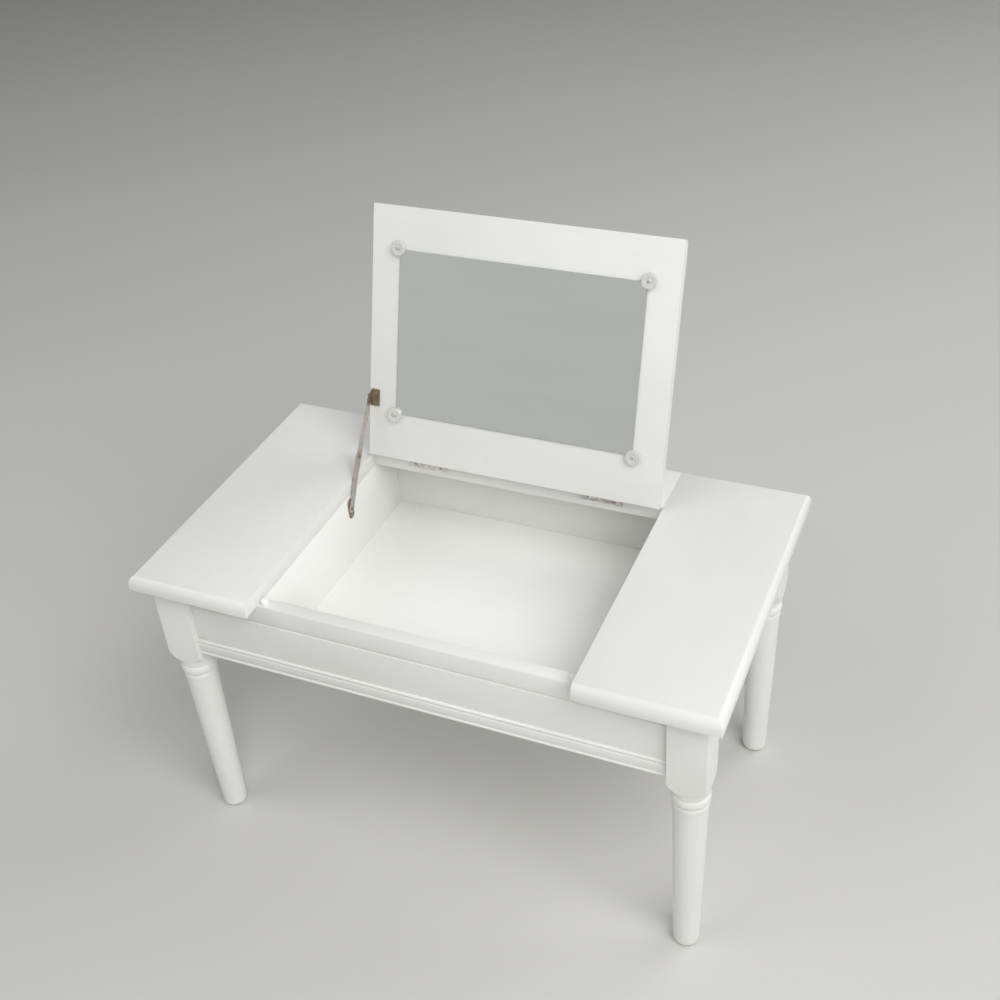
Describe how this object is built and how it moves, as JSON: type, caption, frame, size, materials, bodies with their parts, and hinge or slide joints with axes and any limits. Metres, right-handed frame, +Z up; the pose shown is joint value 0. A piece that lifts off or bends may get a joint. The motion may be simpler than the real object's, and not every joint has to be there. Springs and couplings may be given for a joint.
{
  "type": "vanity table",
  "caption": "White vanity table with turned legs, a storage well and a flip-up lid that carries a mirror and leans back on a folding stay.",
  "frame": {"origin": "middle of the bottom of the bounding box with the lid open, on the floor; it lies 4.0 mm behind the middle of the table top", "axes": "+X towards the right end, +Y towards the back, +Z up; the open side of the well faces -Y"},
  "size_m": [1.3, 0.748, 1.3219],
  "materials": {
    "white_paint": "satin white paint over wood",
    "well_paint": "matt white paint over board",
    "mirror": "silvered glass",
    "clip_plastic": "clear to milky moulded plastic",
    "nylon": "white nylon",
    "glide": "grey nylon",
    "steel": "plated steel, slightly warm",
    "brass": "aged brass plate",
    "screw": "plated steel"
  },
  "bodies": {
    "table": {"back_apron": "white_paint", "corner_brace_back_left": "well_paint", "corner_brace_back_right": "well_paint", "corner_brace_front_left": "well_paint", "corner_brace_front_right": "well_paint", "foot_glide_back_left": "glide", "foot_glide_back_right": "glide", "foot_glide_front_left": "glide", "foot_glide_front_right": "glide", "front_apron": "white_paint", "front_moulding": "white_paint", "front_rail": "white_paint", "hinge_leaf_frame_left": "brass", "hinge_leaf_frame_right": "brass", "hinge_pin_left": "screw", "hinge_pin_right": "screw", "hinge_screw_frame_left_inner": "screw", "hinge_screw_frame_left_outer": "screw", "hinge_screw_frame_right_inner": "screw", "hinge_screw_frame_right_outer": "screw", "left_apron": "white_paint", "leg_back_left": "white_paint", "leg_back_right": "white_paint", "leg_front_left": "white_paint", "leg_front_right": "white_paint", "lid_rest_pad_left": "nylon", "lid_rest_pad_right": "nylon", "right_apron": "white_paint", "stay_wall_plate": "brass", "stay_wall_screw_lower": "screw", "stay_wall_screw_upper": "screw", "top_back_strip": "white_paint", "top_panel_left": "white_paint", "top_panel_right": "white_paint", "well_floor": "well_paint", "well_wall_left": "well_paint", "well_wall_right": "well_paint"},
    "lid": {"clip_screw_lower_left": "screw", "clip_screw_lower_right": "screw", "clip_screw_upper_left": "screw", "clip_screw_upper_right": "screw", "hinge_leaf_lid_left": "brass", "hinge_leaf_lid_right": "brass", "hinge_screw_lid_left_inner": "screw", "hinge_screw_lid_left_outer": "screw", "hinge_screw_lid_right_inner": "screw", "hinge_screw_lid_right_outer": "screw", "lid_panel": "white_paint", "mirror_clip_lower_left": "clip_plastic", "mirror_clip_lower_right": "clip_plastic", "mirror_clip_upper_left": "clip_plastic", "mirror_clip_upper_right": "clip_plastic", "mirror_glass": "mirror", "stay_bracket": "brass", "stay_bracket_screw_far": "screw", "stay_bracket_screw_near": "screw"},
    "stay_upper": {"stay_upper_arm": "steel", "stay_elbow_rivet": "brass"},
    "stay_lower": {"stay_lower_arm": "steel"}
  },
  "joints": [
    {"name": "lid_hinge", "type": "hinge", "parent": "table", "child": "lid", "pos_m": [0, 0.21202, 0.7536], "axis": [1, 0, 0], "range_deg": [0, 106.85]},
    {"name": "stay_upper_pivot", "type": "hinge", "parent": "lid", "child": "stay_upper", "pos_m": [-0.3512, 0.21639, 0.90117], "axis": [1, 0, 0], "range_deg": [-122.6, 0]},
    {"name": "stay_lower_pivot", "type": "hinge", "parent": "table", "child": "stay_lower", "pos_m": [-0.3536, 0.07602, 0.681], "axis": [1, 0, 0], "range_deg": [0, 144.3]}
  ],
  "couplings": [
    {"joint": "stay_upper_pivot", "follows": "lid_hinge", "ratio": -1.1464},
    {"joint": "stay_lower_pivot", "follows": "lid_hinge", "ratio": 1.3492}
  ]
}
